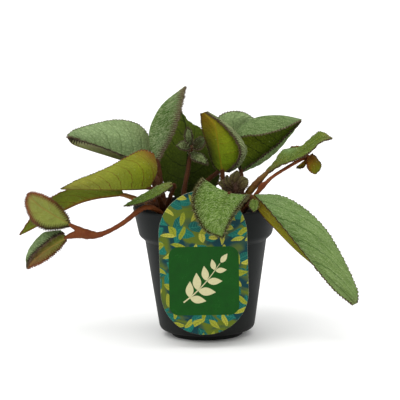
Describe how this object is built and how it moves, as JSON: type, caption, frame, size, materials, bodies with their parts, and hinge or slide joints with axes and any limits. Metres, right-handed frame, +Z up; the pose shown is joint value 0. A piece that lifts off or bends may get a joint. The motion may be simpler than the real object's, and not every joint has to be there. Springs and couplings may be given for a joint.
{
  "type": "potted flame violet",
  "caption": "Flame violet (Episcia) with quilted hairy leaves and runners, rooted in a round plastic nursery pot with a hanging plant tag.",
  "frame": {"origin": "middle of the pot's foot, on the surface that the pot stands on", "axes": "+Z up the pot's axis, +X to the right as seen in the picture, -Y towards the side with the tag"},
  "size_m": [0.2748, 0.1743, 0.2082],
  "materials": {
    "pot": "matt anthracite polypropylene",
    "soil": null,
    "tag": "printed and glossy",
    "pale_leaf": null,
    "green_leaf": null,
    "stem": null,
    "bud": null
  },
  "bodies": {
    "root": {"pot": "pot", "soil": "soil", "tag": "tag", "leaf_left_top": "pale_leaf", "leaf_left_middle": "green_leaf", "leaf_left_low": "green_leaf", "leaf_runner_left_upper": "green_leaf", "leaf_runner_left_lower": "green_leaf", "leaf_small_left": "green_leaf", "leaf_top": "pale_leaf", "leaf_back_upright": "green_leaf", "leaf_cupped": "green_leaf", "leaf_right_roof": "pale_leaf", "leaf_back_pale": "pale_leaf", "leaf_front": "pale_leaf", "leaf_right_drooping": "pale_leaf", "leaf_right_narrow": "green_leaf", "leaf_small_right": "green_leaf", "leaf_behind_pot": "pale_leaf", "leaves_middle_small": "green_leaf", "buds_right": "bud", "leaves_runner_right": "green_leaf", "buds_left": "bud", "stems_left_crown": "stem", "stems_middle_crown": "stem", "stems_right_crown": "stem", "runner_left": "stem", "runner_right": "stem"}
  },
  "joints": []
}
